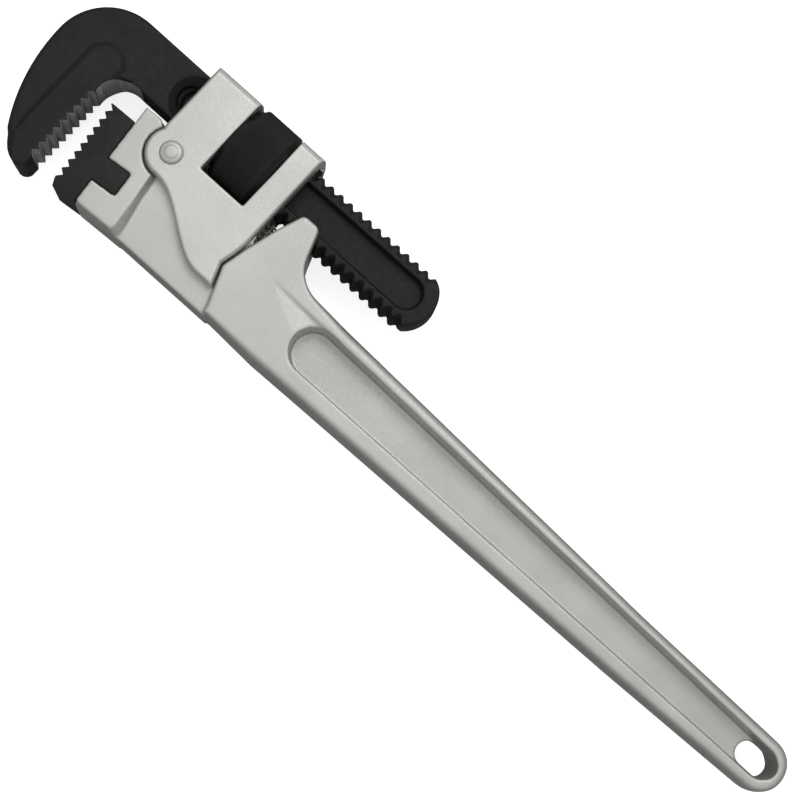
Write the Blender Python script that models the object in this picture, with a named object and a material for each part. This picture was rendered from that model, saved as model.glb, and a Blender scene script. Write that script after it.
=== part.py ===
"""Pipe wrench with an aluminium handle: a plain working model of every separate piece.

Sizes are in millimetres, and MM turns them into Blender's metres. The wrench lies flat on its side.
Every outline is drawn from the axis of the frame pin, at mid-thickness: +X runs along the handle
towards the jaws, +Y towards the open side of the jaws and +Z up.
"""

import math

import bmesh
import bpy
from mathutils import Matrix, Vector

MM = 0.001
GAP = 0.3

# Whole wrench: the lengths that set the place of the origin, under the middle of the bounding box.
TAIL_X = -337.5
HOOK_X = 68.0
NUT_RADIUS = 18.8
SHANK_Y = -22.2
HOOK_TIP_Y = 43.6
PIN_X = -(TAIL_X + HOOK_X) / 2
PIN_Y = -(SHANK_Y - NUT_RADIUS + HOOK_TIP_Y) / 2
PIN_Z = NUT_RADIUS

# Hook jaw.
SHANK_HALF_WIDTH = 11.3
SHANK_MIDDLE_Y = -22.6
SHANK_HALF_THICKNESS = 8.0
SHANK_END_X = -116.5
SHANK_END_RADIUS = 13.6
THREAD_CREST = 13.1
THREAD_ROOT = 11.1
THREAD_PITCH = 5.0
THREAD_FIRST_X = -110.95
THREAD_TURNS = 21
SHANK_BURIED_X = 38.0
HOOK_HALF_THICKNESS = 9.5
HOOK_BEND_CENTRE = (43.0, -9.0)
HOOK_BEND_RADIUS = 25.0
HOOK_BACK_RADIUS = 69.5
PAD_HALF_THICKNESS = 11.0
HOOK_TEETH_X = 39.4
HOOK_TEETH_Y = 1.4
HOOK_TOOTH_PITCH = 3.95
HOOK_TOOTH_COUNT = 10
TOOTH_DEPTH = 2.0
GROOVE_HALF_WIDTH = 7.0
GROOVE_FLOOR_HALF_WIDTH = 6.0
GROOVE_FLOOR_Z = 4.0
GROOVE_X = (-103.4, 12.0)

# Round nut.
NUT_X = (-34.2, -12.9)
NUT_BORE = 13.5
NUT_CHAMFER = 2.2

# Frame.
FRAME_HALF_THICKNESS = 15.5
FRAME_INNER_Z = 9.8
FRAME_BACK_Y = -39.6
FRAME_BACK_DRAFT = 1.3
FRAME_EDGE = 0.8
FRAME_TOP_X = 9.3
FRAME_BOTTOM_X = -45.6
WINDOW_X = (-34.6, -12.5)
WINDOW_Y = -3.1
CHANNEL_HALF_Z = 8.4
CHANNEL_HALF_Y = 13.5
CORE_SPACE_Y = -10.1
EAR_RADIUS = 10.4
FRAME_TIP_Y = 28.4

# Frame pin.
PIN_RADIUS = 4.0
PIN_HEAD_RADIUS = 4.7
PIN_HEAD_HEIGHT = 1.3

# Handle.
CORE_HALF_Z = 9.5
CORE_TOP_Y = 1.0
CORE_RADIUS = 8.6
HOLDER_HALF_Z = 13.0
HOLDER_ARC = 11.3
NECK_HALF_Z = 14.0
TAIL_HALF_Z = 11.0
GRIP_START_X = -60.0
TAIL_CENTRE = (-326.2, 22.2)
TAIL_RADIUS = 11.3
HORN_SLOT_HALF_Z = 8.5
HORN_SLOT_Y = 2.4
WEB_HALF_Z = 2.5
POCKET_START = (-93.1, 20.35)
POCKET_START_RADIUS = 9.65
POCKET_END = (-325.9, 22.3)
POCKET_END_RADIUS = 6.1
POCKET_DRAFT = 2.0
HOLE_CENTRE = (-324.5, 22.2)
HOLE_LENGTH = 16.4
HOLE_WIDTH = 9.9
SPRING_HOLE_RADIUS = 3.3
SPRING_HOLE_BOTTOM_Y = 12.0

# Lower jaw.
JAW_HALF_Z = 12.8
JAW_TOOTH_PITCH = 3.98
JAW_TOOTH_COUNT = 10
JAW_TIP_START = (30.9, 1.0)
JAW_TILT = math.radians(6.1)
JAW_BAR_DEPTH = 12.2
JAW_TONGUE_DEPTH = 23.2
JAW_TONGUE = (18.2, 28.5)
JAW_LENGTH = 39.8
JAW_PIN_RADIUS = 1.5
JAW_PIN_X = 10.6

# Springs.
COIL_X = -46.9
COIL_RADIUS = 2.4
COIL_WIRE = 0.45
COIL_TURNS = 6.0
COIL_Y = (-8.4, 11.2)
LEAF_X = (-46.8, -35.2)
LEAF_THICKNESS = 0.8
LEAF_HALF_Z = 5.0
LEAF_RECESS_Y = -37.2
STUD_RADIUS = 1.6
STUD_X = -40.1


def new_material(name, colour, metallic, roughness):
    material = bpy.data.materials.new(name)
    material.use_nodes = True
    shader = material.node_tree.nodes["Principled BSDF"]
    shader.inputs["Base Color"].default_value = (*colour, 1.0)
    shader.inputs["Metallic"].default_value = metallic
    shader.inputs["Roughness"].default_value = roughness
    return material


def clear_scene():
    for obj in list(bpy.data.objects):
        bpy.data.objects.remove(obj, do_unlink=True)


def arc(centre, radius, start, end, steps):
    """Points of a round stretch, from the start angle to the end angle in degrees."""
    points = []
    for i in range(steps + 1):
        angle = math.radians(start + (end - start) * i / steps)
        points.append((centre[0] + radius * math.cos(angle), centre[1] + radius * math.sin(angle)))
    return points


def ease(t):
    return t * t * (3 - 2 * t)


def add_object(name, mesh):
    obj = bpy.data.objects.new(name, mesh)
    bpy.context.scene.collection.objects.link(obj)
    return obj


def finish_mesh(work, name):
    """Recalculates the normals and turns the working mesh into an object, in metres."""
    bmesh.ops.recalc_face_normals(work, faces=work.faces)
    bmesh.ops.triangulate(work, faces=work.faces)
    bmesh.ops.scale(work, vec=Vector((MM, MM, MM)), verts=work.verts)
    mesh = bpy.data.meshes.new(name)
    work.to_mesh(mesh)
    work.free()
    return add_object(name, mesh)


def loft(name, rings):
    """A closed solid through rings of points, which all have the same number of points."""
    work = bmesh.new()
    rows = [[work.verts.new(point) for point in ring] for ring in rings]
    for lower, upper in zip(rows, rows[1:]):
        for i in range(len(lower)):
            j = (i + 1) % len(lower)
            work.faces.new((lower[i], lower[j], upper[j], upper[i]))
    work.faces.new(rows[0])
    work.faces.new(rows[-1])
    return finish_mesh(work, name)


def stack(name, levels):
    """A closed solid through several outlines, each given as (points, z)."""
    return loft(name, [[(x, y, z) for x, y in points] for points, z in levels])


def slab(name, outline, low, high):
    """A closed solid with one outline between two heights."""
    return stack(name, [(outline, low), (outline, high)])


def turned(name, profile, steps, matrix):
    """A solid of revolution about local Z from (radius, height) points, ends closed on the axis."""
    work = bmesh.new()
    verts = [work.verts.new((radius, 0, height)) for radius, height in profile]
    edges = [work.edges.new(pair) for pair in zip(verts, verts[1:])]
    bmesh.ops.spin(work, geom=verts + edges, cent=(0, 0, 0), axis=(0, 0, 1),
                   angle=math.tau, steps=steps, use_merge=True)
    bmesh.ops.remove_doubles(work, verts=work.verts, dist=1e-4)
    bmesh.ops.transform(work, matrix=matrix, verts=work.verts)
    return finish_mesh(work, name)


def apply_boolean(target, other, operation):
    """Cuts or joins with the other solid, keeps the result and removes the helper."""
    modifier = target.modifiers.new(operation.title(), "BOOLEAN")
    modifier.operation = operation
    modifier.solver = "EXACT"
    modifier.object = other
    evaluated = target.evaluated_get(bpy.context.evaluated_depsgraph_get())
    result = bpy.data.meshes.new_from_object(evaluated)
    target.modifiers.clear()
    target.data = result
    bpy.data.objects.remove(other, do_unlink=True)


def cut(target, other):
    apply_boolean(target, other, "DIFFERENCE")


def join(target, other):
    apply_boolean(target, other, "UNION")


def teeth(start, direction, outward, pitch, count):
    """Points of a toothed edge: tips on a straight line, with one valley between each two tips."""
    points = []
    for i in range(count):
        along = pitch * i
        points.append((start[0] + direction[0] * along, start[1] + direction[1] * along))
        if i < count - 1:
            along += pitch / 2
            points.append((start[0] + direction[0] * along - outward[0] * TOOTH_DEPTH,
                           start[1] + direction[1] * along - outward[1] * TOOTH_DEPTH))
    return points


def thread_radius(turn):
    """Radius of the shank's edge at a number of thread turns, tip at whole turns."""
    phase = abs((turn + 0.5) % 1.0 - 0.5) * 2
    return THREAD_CREST + (THREAD_ROOT - THREAD_CREST) * phase


def shank_bar(name):
    """Flat bar with round narrow edges: a helical thread, then a smooth stretch up to the hook."""
    columns = 6
    rows = THREAD_TURNS * 2
    half = SHANK_HALF_THICKNESS
    work = bmesh.new()
    sides = []
    for side in (1, -1):
        grid = []
        for j in range(columns + 1):
            z = half - 2 * half * j / columns
            lean = math.asin(z / THREAD_CREST) / math.tau * side
            flip = 0.0 if side > 0 else 0.5
            line = []
            for i in range(rows + 1):
                x = THREAD_FIRST_X + THREAD_PITCH * (i / 2 + lean + flip)
                radius = thread_radius(i / 2)
                line.append((x, SHANK_Y + side * math.sqrt(radius ** 2 - z ** 2), z))
            smooth = SHANK_MIDDLE_Y + side * SHANK_HALF_WIDTH
            root = SHANK_Y + side * math.sqrt(THREAD_ROOT ** 2 - z ** 2)
            line.append((line[-1][0] + THREAD_PITCH / 2, smooth, z))
            line = [(SHANK_END_X - 1, root, z), (line[0][0] - THREAD_PITCH / 2, root, z)] + line
            line.append((SHANK_BURIED_X, smooth, z))
            grid.append([work.verts.new(point) for point in line])
        for j in range(columns):
            for i in range(len(grid[0]) - 1):
                work.faces.new((grid[j][i], grid[j][i + 1], grid[j + 1][i + 1], grid[j + 1][i]))
        sides.append(grid)
    near, far = sides
    work.faces.new(near[0] + far[0][::-1])
    work.faces.new(near[-1] + far[-1][::-1])
    ends = [[line[end] for line in near] + [line[end] for line in far][::-1] for end in (0, -1)]
    for ring in ends:
        work.faces.new(ring)
    return finish_mesh(work, name)


def shank_limits():
    """Outline that keeps the whole shank and rounds its free end."""
    centre = (SHANK_END_X + SHANK_END_RADIUS, SHANK_Y)
    outline = arc(centre, SHANK_END_RADIUS, 90, 270, 24)
    outline += [(60, SHANK_Y - SHANK_END_RADIUS), (60, SHANK_Y + SHANK_END_RADIUS)]
    return slab("shank_limits", outline, -20, 20)


def hook_body():
    """The curved hook at its own thickness, from the shank round to the tip."""
    throat_y = SHANK_MIDDLE_Y + SHANK_HALF_WIDTH + 10.6
    back_centre = (HOOK_X - HOOK_BACK_RADIUS, HOOK_BEND_CENTRE[1])
    outline = [(32.0, HOOK_BEND_CENTRE[1] - HOOK_BEND_RADIUS)]
    outline += arc(HOOK_BEND_CENTRE, HOOK_BEND_RADIUS, -90, 0, 14)
    outline += arc(back_centre, HOOK_BACK_RADIUS, 3, 38, 8)
    outline += arc((44.6, HOOK_TIP_Y - 9.6), 9.6, 32, 90, 6)
    outline += [(HOOK_TEETH_X + TOOTH_DEPTH + 0.6, 41.6), (HOOK_TEETH_X + TOOTH_DEPTH + 0.6, 3.0)]
    outline += arc((29.6, throat_y), 10.6, -8, -60, 4)
    outline += [(30.5, SHANK_Y)]
    return stack("hook_body", [
        (inset(outline, 1.5), -HOOK_HALF_THICKNESS),
        (outline, -HOOK_HALF_THICKNESS + 1.5),
        (outline, HOOK_HALF_THICKNESS - 1.5),
        (inset(outline, 1.5), HOOK_HALF_THICKNESS),
    ])


def inset(outline, distance):
    """The outline moved in by a distance, along the mean normal at each point."""
    area = 0.0
    count = len(outline)
    for i in range(count):
        a, b = outline[i], outline[(i + 1) % count]
        area += a[0] * b[1] - b[0] * a[1]
    sign = 1.0 if area > 0 else -1.0
    moved = []
    for i in range(count):
        before, here, after = outline[i - 1], outline[i], outline[(i + 1) % count]
        first = Vector((here[0] - before[0], here[1] - before[1])).normalized()
        second = Vector((after[0] - here[0], after[1] - here[1])).normalized()
        normal = Vector((-first.y - second.y, first.x + second.x)).normalized() * sign
        square = max(0.4, Vector((-first.y, first.x)).dot(normal) * sign)
        moved.append((here[0] + normal.x * distance / square, here[1] + normal.y * distance / square))
    return moved


def hook_pad():
    """The wider toothed pad of the hook."""
    outline = [(51.4, 34.0), (51.8, 26.0)]
    outline += arc((44.9, -9.4), 6.9, 0, -165, 9)
    outline += arc((29.6, 0.3), 9.8, -22, 2, 3)
    outline += teeth((HOOK_TEETH_X, HOOK_TEETH_Y), (0, 1), (-1, 0), HOOK_TOOTH_PITCH, HOOK_TOOTH_COUNT)
    outline += arc((44.6, HOOK_TIP_Y - 6.0), 5.8, 150, 60, 6)
    outline += [(50.4, 39.4)]
    return slab("hook_pad", outline, -PAD_HALF_THICKNESS, PAD_HALF_THICKNESS)


def stadium(left, right, left_radius, right_radius):
    """Outline of a slot along X between two centres, with a radius at each end."""
    return arc(left, left_radius, 90, 270, 8) + arc(right, right_radius, -90, 90, 8)


def shank_groove(side):
    """Cutter for the long recess in one face of the shank."""
    ends = [(x, SHANK_Y) for x in GROOVE_X]
    floor = stadium(*ends, GROOVE_FLOOR_HALF_WIDTH, GROOVE_FLOOR_HALF_WIDTH)
    rim = stadium(*ends, GROOVE_HALF_WIDTH, GROOVE_HALF_WIDTH)
    top = SHANK_HALF_THICKNESS + 0.2
    return stack("groove", [(floor, side * GROOVE_FLOOR_Z), (rim, side * top)])


def make_hook_jaw(material):
    jaw = hook_body()
    jaw.name = "hook_jaw"
    join(jaw, hook_pad())
    shank = shank_bar("shank")
    apply_boolean(shank, shank_limits(), "INTERSECT")
    join(jaw, shank)
    for side in (1, -1):
        cut(jaw, shank_groove(side))
    jaw.data.materials.append(material)
    return jaw


def make_nut(material):
    """Turned ring on the shank's axis. Its own origin lies on that axis."""
    low = NUT_X[0]
    high = NUT_X[1]
    bevel = NUT_CHAMFER
    profile = [(NUT_BORE, low), (NUT_RADIUS - bevel, low), (NUT_RADIUS, low + bevel),
               (NUT_RADIUS, high - bevel), (NUT_RADIUS - bevel, high), (NUT_BORE, high), (NUT_BORE, low)]
    nut = turned("round_nut", profile, 48, Matrix.Rotation(math.pi / 2, 4, "Y"))
    nut.data.materials.append(material)
    nut.location.y = SHANK_Y * MM
    return nut


def frame_outline(back_y):
    """Outline of both side plates, from the back top corner round the ear to the tip and back."""
    points = [(8.6, back_y)]
    points += [(FRAME_TOP_X, -7.2)]
    points += arc((0, 0), EAR_RADIUS, -28, 90, 14)
    start, end = -1.0, -39.0
    for i in range(1, 15):
        t = i / 14
        points.append((start + (end - start) * t, EAR_RADIUS + (FRAME_TIP_Y - EAR_RADIUS) * ease(t)))
    points += [(-46.9, FRAME_TIP_Y), (-43.4, 18.8), (-44.9, 12.7), (FRAME_BOTTOM_X, 7.4)]
    points += [(FRAME_BOTTOM_X, back_y)]
    return points


def make_frame(material):
    middle = frame_outline(FRAME_BACK_Y)
    side = frame_outline(FRAME_BACK_Y + FRAME_BACK_DRAFT)
    edge = inset(side, FRAME_EDGE)
    half = FRAME_HALF_THICKNESS
    frame = stack("frame", [
        (edge, -half), (side, -half + FRAME_EDGE), (middle, -half / 2),
        (middle, half / 2), (side, half - FRAME_EDGE), (edge, half),
    ])
    core = [(40, CORE_SPACE_Y), (-60, CORE_SPACE_Y), (-60, 60), (40, 60)]
    cut(frame, slab("core_space", core, -FRAME_INNER_Z, FRAME_INNER_Z))
    channel = [(40, SHANK_Y - CHANNEL_HALF_Y), (-60, SHANK_Y - CHANNEL_HALF_Y), (-60, 0), (40, 0)]
    cut(frame, slab("channel", channel, -CHANNEL_HALF_Z, CHANNEL_HALF_Z))
    left, right = WINDOW_X
    window = [(left, -60), (right, -60), (right, WINDOW_Y), (left, WINDOW_Y)]
    cut(frame, slab("window", window, -20, 20))
    inner = left + 5
    recess = [(inner, LEAF_RECESS_Y), (-60, LEAF_RECESS_Y), (-60, SHANK_Y), (inner, SHANK_Y)]
    cut(frame, slab("leaf_recess", recess, -LEAF_HALF_Z - GAP, LEAF_HALF_Z + GAP))
    cut(frame, rod("pin_bore", PIN_RADIUS + GAP, -20, 20, (0, 0)))
    cut(frame, stud_rod("stud_bore", STUD_RADIUS + GAP, FRAME_BACK_Y - 3, LEAF_RECESS_Y + 2))
    frame.data.materials.append(material)
    return frame


def rod(name, radius, low, high, place, steps=24):
    profile = [(0, low), (radius, low), (radius, high), (0, high)]
    return turned(name, profile, steps, Matrix.Translation((place[0], place[1], 0)))


def stud_rod(name, radius, low, high):
    """A round rod along Y at the stud's place."""
    turn = Matrix.Translation((STUD_X, 0, 0)) @ Matrix.Rotation(-math.pi / 2, 4, "X")
    return turned(name, [(0, low), (radius, low), (radius, high), (0, high)], 16, turn)


def make_frame_pin(material):
    """Rivet through both side plates and the handle, with a low domed head at each end."""
    half = FRAME_HALF_THICKNESS + GAP
    rim = 0.4
    upper = [(PIN_RADIUS, half), (PIN_HEAD_RADIUS, half)]
    for i in range(5):
        angle = math.radians(18 * i)
        height = half + rim + (PIN_HEAD_HEIGHT - rim) * math.sin(angle)
        upper.append((PIN_HEAD_RADIUS * math.cos(angle), height))
    upper.append((0, half + PIN_HEAD_HEIGHT))
    lower = [(radius, -height) for radius, height in reversed(upper)]
    pin = turned("frame_pin", lower + upper, 24, Matrix())
    pin.data.materials.append(material)
    return pin


def grip_half(x):
    """Half thickness of the grip, which gets thinner towards the tail."""
    along = (x - GRIP_START_X) / (TAIL_X - GRIP_START_X)
    return NECK_HALF_Z + (TAIL_HALF_Z - NECK_HALF_Z) * along


def handle_grip():
    """The long grip with drafted sides."""
    outline = [(-64.0, 6.0), (-77.2, 4.0), (-97.0, 4.4), (-177.0, 7.1), (-256.0, 9.8)]
    outline += arc(TAIL_CENTRE, TAIL_RADIUS, 270, 90, 14)
    outline += [(-260.0, 35.6), (-180.0, 37.2), (-100.0, 39.0), (GRIP_START_X, 40.2)]
    rings = []
    for share, draft in ((-1.0, 2.4), (-0.82, 0.9), (-0.4, 0.0), (0.4, 0.0), (0.82, 0.9), (1.0, 2.4)):
        rings.append([(x, y, share * grip_half(x)) for x, y in inset(outline[::-1], draft)])
    return loft("handle", rings)


def handle_horn():
    """The shoulder and the horn whose two cheeks guide the shank."""
    outline = [(-43.9, 19.0), (-45.9, 10.0), (-46.4, 6.5), (-50.1, -6.0), (-53.6, -15.6), (-55.4, -17.4),
               (-61.4, -17.4), (-63.2, -15.6), (-66.9, -7.0), (-70.2, -1.6), (-74.0, 2.2), (-80.0, 4.4),
               (-84.0, 10.0), (-84.0, 30.0), (-76.0, 38.5), (-50.5, 39.0), (-50.5, 35.3)]
    half = NECK_HALF_Z
    return stack("horn", [(inset(outline, 1.2), -half), (outline, -half + 1.2),
                          (outline, half - 1.2), (inset(outline, 1.2), half)])


def handle_core():
    """The flat tongue between the frame's side plates."""
    outline = [(-52.0, 38.8), (-52.0, 8.0), (-46.6, 6.0), (-46.2, CORE_TOP_Y), (-13.0, CORE_TOP_Y)]
    outline += arc((0, 0), CORE_RADIUS, 180, 300, 10)
    outline += [(12.2, -7.2), (14.0, -7.2), (14.0, 38.5)]
    return slab("core", outline, -CORE_HALF_Z, CORE_HALF_Z)


def handle_holder():
    """The thick block that holds the lower jaw, hollowed round the ear of the frame."""
    start = [(18.6, -7.2), (11.9, -7.2)]
    start += arc((0, 0), HOLDER_ARC, -30, 88, 12)
    face = start + [(-2.2, 18.6), (-4.8, 36.2), (-3.8, 38.2), (13.0, 38.8), (17.4, 37.2)]
    foot = start + [(-4.8, 18.2), (-9.4, 36.6), (-8.6, 39.2), (13.6, 39.8), (18.2, 38.4)]
    foot_z = CORE_HALF_Z - 1
    return stack("holder", [(face, -HOLDER_HALF_Z), (foot, -foot_z), (foot, foot_z), (face, HOLDER_HALF_Z)])


JAW_SIDE = Vector((-math.sin(JAW_TILT), math.cos(JAW_TILT)))
JAW_OUT = Vector((math.cos(JAW_TILT), math.sin(JAW_TILT)))


def jaw_point(across, along):
    """A point of the lower jaw: depth behind its tooth tips, and distance down from the first tip."""
    return tuple(Vector(JAW_TIP_START) - JAW_OUT * across + JAW_SIDE * along)


def jaw_back(grow):
    """Back of the lower jaw from its lower end to its top: a bar with a square tongue."""
    bar = JAW_BAR_DEPTH + grow
    tongue = JAW_TONGUE_DEPTH + grow
    low, high = JAW_TONGUE[1] + grow, JAW_TONGUE[0] - grow
    return [jaw_point(bar, low), jaw_point(tongue, low), jaw_point(tongue, high), jaw_point(bar, high)]


def jaw_outline():
    points = [jaw_point(0.2, -0.2)]
    points += teeth(JAW_TIP_START, JAW_SIDE, JAW_OUT, JAW_TOOTH_PITCH, JAW_TOOTH_COUNT)
    points += [jaw_point(0.3, JAW_LENGTH - 2.2), jaw_point(1.1, JAW_LENGTH)]
    points += [jaw_point(JAW_BAR_DEPTH, JAW_LENGTH)]
    points += jaw_back(0)
    points += [jaw_point(JAW_BAR_DEPTH, 0.5)]
    return points


def make_lower_jaw(material):
    jaw = slab("lower_jaw", jaw_outline(), -JAW_HALF_Z, JAW_HALF_Z)
    cut(jaw, jaw_pin_rod("jaw_pin_bore", JAW_PIN_RADIUS + GAP, 23.4, 60))
    jaw.data.materials.append(material)
    return jaw


def jaw_pin_rod(name, radius, low, high):
    """A round rod along Y from the lower edge of the holder into the jaw's tongue."""
    turn = Matrix.Translation((JAW_PIN_X, 0, 0)) @ Matrix.Rotation(-math.pi / 2, 4, "X")
    return turned(name, [(0, low), (radius, low), (radius, high), (0, high)], 16, turn)


def make_jaw_pin(material):
    pin = jaw_pin_rod("lower_jaw_pin", JAW_PIN_RADIUS, 23.7, 40.0)
    pin.data.materials.append(material)
    return pin


def jaw_seat():
    """Cutter for the slot that takes the lower jaw and for the wall behind its bar."""
    bar = JAW_BAR_DEPTH + GAP
    outline = [jaw_point(-20, -20), jaw_point(-20, 60), jaw_point(bar, 60)]
    outline += jaw_back(GAP)
    outline += [jaw_point(bar, -20)]
    return slab("jaw_seat", outline, -30, 30)


def web_pocket(side):
    """Cutter for the recess in one face of the grip that leaves the thin web."""
    ends = (POCKET_END, POCKET_START)
    floor = stadium(*ends, POCKET_END_RADIUS - POCKET_DRAFT, POCKET_START_RADIUS - POCKET_DRAFT)
    rim = stadium(*ends, POCKET_END_RADIUS, POCKET_START_RADIUS)
    return stack("pocket", [(floor, side * WEB_HALF_Z), (rim, side * (NECK_HALF_Z - 0.5))])


def make_handle(material):
    handle = handle_grip()
    join(handle, handle_horn())
    join(handle, handle_core())
    join(handle, handle_holder())
    slot = [(-46.3, -30), (-90, -30), (-90, HORN_SLOT_Y), (-46.3, HORN_SLOT_Y)]
    cut(handle, slab("horn_slot", slot, -HORN_SLOT_HALF_Z, HORN_SLOT_HALF_Z))
    cut(handle, jaw_seat())
    cut(handle, jaw_pin_rod("handle_pin_bore", JAW_PIN_RADIUS + GAP, 23.4, 60))
    cut(handle, rod("handle_bore", PIN_RADIUS + GAP, -20, 20, (0, 0)))
    for side in (1, -1):
        cut(handle, web_pocket(side))
    reach = (HOLE_LENGTH - HOLE_WIDTH) / 2
    hole = stadium((HOLE_CENTRE[0] - reach, HOLE_CENTRE[1]), (HOLE_CENTRE[0] + reach, HOLE_CENTRE[1]),
                   HOLE_WIDTH / 2, HOLE_WIDTH / 2)
    cut(handle, slab("hanging_hole", hole, -20, 20))
    turn = Matrix.Translation((COIL_X, 0, 0)) @ Matrix.Rotation(-math.pi / 2, 4, "X")
    top = CORE_TOP_Y - 4
    profile = [(0, top), (SPRING_HOLE_RADIUS, top),
               (SPRING_HOLE_RADIUS, SPRING_HOLE_BOTTOM_Y), (0, SPRING_HOLE_BOTTOM_Y)]
    cut(handle, turned("spring_hole", profile, 20, turn))
    handle.data.materials.append(material)
    return handle


def make_coil_spring(material):
    """Open coil with its axis along Y, standing in the handle's hole under the shank."""
    curve = bpy.data.curves.new("coil_spring", "CURVE")
    curve.dimensions = "3D"
    curve.bevel_depth = COIL_WIRE * MM
    curve.bevel_resolution = 1
    curve.use_fill_caps = True
    spline = curve.splines.new("POLY")
    per_turn = 14
    count = int(COIL_TURNS * per_turn) + 1
    spline.points.add(count - 1)
    low = COIL_Y[0] + COIL_WIRE
    high = COIL_Y[1] - COIL_WIRE
    radius = COIL_RADIUS - COIL_WIRE
    for i, point in enumerate(spline.points):
        angle = math.tau * i / per_turn
        y = low + (high - low) * i / (count - 1)
        x = COIL_X + radius * math.cos(angle)
        point.co = (x * MM, y * MM, radius * math.sin(angle) * MM, 1)
    coil = add_object("coil_spring", curve)
    curve.materials.append(material)
    return coil


def make_leaf_spring(material):
    """Thin strip between the back wall of the frame and the shank, bowed towards the shank."""
    steps = 8
    outer = []
    for i in range(steps + 1):
        t = i / steps
        x = LEAF_X[0] + (LEAF_X[1] - LEAF_X[0]) * t
        outer.append((x, LEAF_RECESS_Y + GAP + 0.35 * math.sin(math.pi * t)))
    inner = [(x, y + LEAF_THICKNESS) for x, y in reversed(outer)]
    leaf = slab("leaf_spring", outer + inner, -LEAF_HALF_Z, LEAF_HALF_Z)
    leaf.data.materials.append(material)
    return leaf


def make_leaf_stud(material):
    """Short stud of the leaf spring, in a hole through the frame's back wall."""
    stud = stud_rod("leaf_spring_stud", STUD_RADIUS, FRAME_BACK_Y + 0.4, LEAF_RECESS_Y + GAP)
    stud.data.materials.append(material)
    return stud


def main():
    clear_scene()
    aluminium = new_material("cast_aluminium", (0.56, 0.56, 0.53), 0.6, 0.5)
    dark = new_material("black_oxide_steel", (0.028, 0.028, 0.027), 0.4, 0.5)
    spring = new_material("spring_steel", (0.35, 0.35, 0.36), 1.0, 0.35)
    pin_steel = new_material("rivet_steel", (0.5, 0.5, 0.48), 0.8, 0.4)

    axis = bpy.data.objects.new("frame_pin_axis", None)
    bpy.context.scene.collection.objects.link(axis)
    pieces = [
        make_handle(aluminium),
        make_lower_jaw(dark),
        make_jaw_pin(pin_steel),
        make_frame(aluminium),
        make_frame_pin(pin_steel),
        make_hook_jaw(dark),
        make_nut(dark),
        make_coil_spring(spring),
        make_leaf_spring(spring),
        make_leaf_stud(spring),
    ]
    axis.location = (PIN_X * MM, PIN_Y * MM, PIN_Z * MM)
    for obj in pieces:
        obj.parent = axis
        if obj.type == "MESH":
            obj.data.shade_smooth()
            obj.data.set_sharp_from_angle(angle=math.radians(35))


if __name__ == "__main__":
    main()
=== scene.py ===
"""Looks of a straight pipe wrench: cast aluminium handle and frame, black forged jaws and nut.

The script loads the working model as a fixed frame and makes one detailed piece for each of its nodes.
Outlines are in millimetres from the axis of the frame pin, at mid-thickness: +X runs along the handle
towards the jaws, +Y towards the open side of the jaws and +Z up. MM turns them into metres.
"""

import math

import bmesh
import bpy
from mathutils import Matrix, Vector


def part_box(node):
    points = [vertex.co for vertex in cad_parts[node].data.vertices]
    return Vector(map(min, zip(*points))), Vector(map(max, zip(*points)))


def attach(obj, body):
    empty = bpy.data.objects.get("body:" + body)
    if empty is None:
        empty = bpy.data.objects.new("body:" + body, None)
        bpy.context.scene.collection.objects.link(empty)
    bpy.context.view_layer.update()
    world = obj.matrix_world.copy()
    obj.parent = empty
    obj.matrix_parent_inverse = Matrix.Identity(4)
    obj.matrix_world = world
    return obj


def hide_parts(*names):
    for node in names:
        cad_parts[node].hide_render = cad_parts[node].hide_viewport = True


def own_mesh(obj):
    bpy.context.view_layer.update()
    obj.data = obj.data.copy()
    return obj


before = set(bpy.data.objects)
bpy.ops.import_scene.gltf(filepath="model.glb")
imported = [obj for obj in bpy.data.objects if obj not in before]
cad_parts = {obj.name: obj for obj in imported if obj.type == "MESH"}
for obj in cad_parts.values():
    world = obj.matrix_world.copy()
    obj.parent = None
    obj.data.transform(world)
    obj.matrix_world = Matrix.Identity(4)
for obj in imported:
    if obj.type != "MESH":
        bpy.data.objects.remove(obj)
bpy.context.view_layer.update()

bl_info = {
    "name": "Pipe Wrench",
    "version": (1, 0, 0),
    "blender": (4, 5, 0),
    "location": "View3D > Sidebar > Pipe Wrench",
    "description": "Builds a straight pipe wrench around its working model",
    "category": "Add Mesh",
}

MM = 0.001


def middle(node):
    low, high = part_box(node)
    return (low + high) / 2 / MM


def reach(node, axis):
    """Lowest and highest place of a node along one axis, in millimetres from the pin axis."""
    low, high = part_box(node)
    return low[axis] / MM - PIN[axis], high[axis] / MM - PIN[axis]


PIN = middle("frame_pin")
NUT_MIDDLE = middle("round_nut") - PIN
SHANK_Y = NUT_MIDDLE.y
TAIL_X = reach("handle", 0)[0]
HOOK_X = reach("hook_jaw", 0)[1]
SHANK_END_X = reach("hook_jaw", 0)[0]
NUT_RADIUS = reach("round_nut", 2)[1]
FRAME_HALF = reach("frame", 2)[1]
NECK_HALF = reach("handle", 2)[1]
JAW_HALF = reach("lower_jaw", 2)[1]
PAD_HALF = reach("hook_jaw", 2)[1]

# Handle casting.
TAIL_HALF = 11.0
TAIL_CENTRE = (-326.2, 22.2)
TAIL_RADIUS = TAIL_CENTRE[0] - TAIL_X
WEB_HALF = 2.5
CORE_HALF = 9.5
HOLDER_HALF = 13.0
HORN_SLOT_HALF = 8.5
POCKET_START = (-93.1, 20.35, 9.65)
POCKET_END = (-325.9, 22.3, 6.1)
HOLE_CENTRE = (-324.5, 22.2)
HOLE_SIZE = (16.4, 9.9)
GRIP_EDGE = 3.6
GRIP_DRAFT = 0.8
OPEN_SIDE_EDGE = 0.66

# Round nut: radii of its thread's crests and grooves.
NUT_BORE = 13.4
NUT_GROOVE = 14.6

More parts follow.
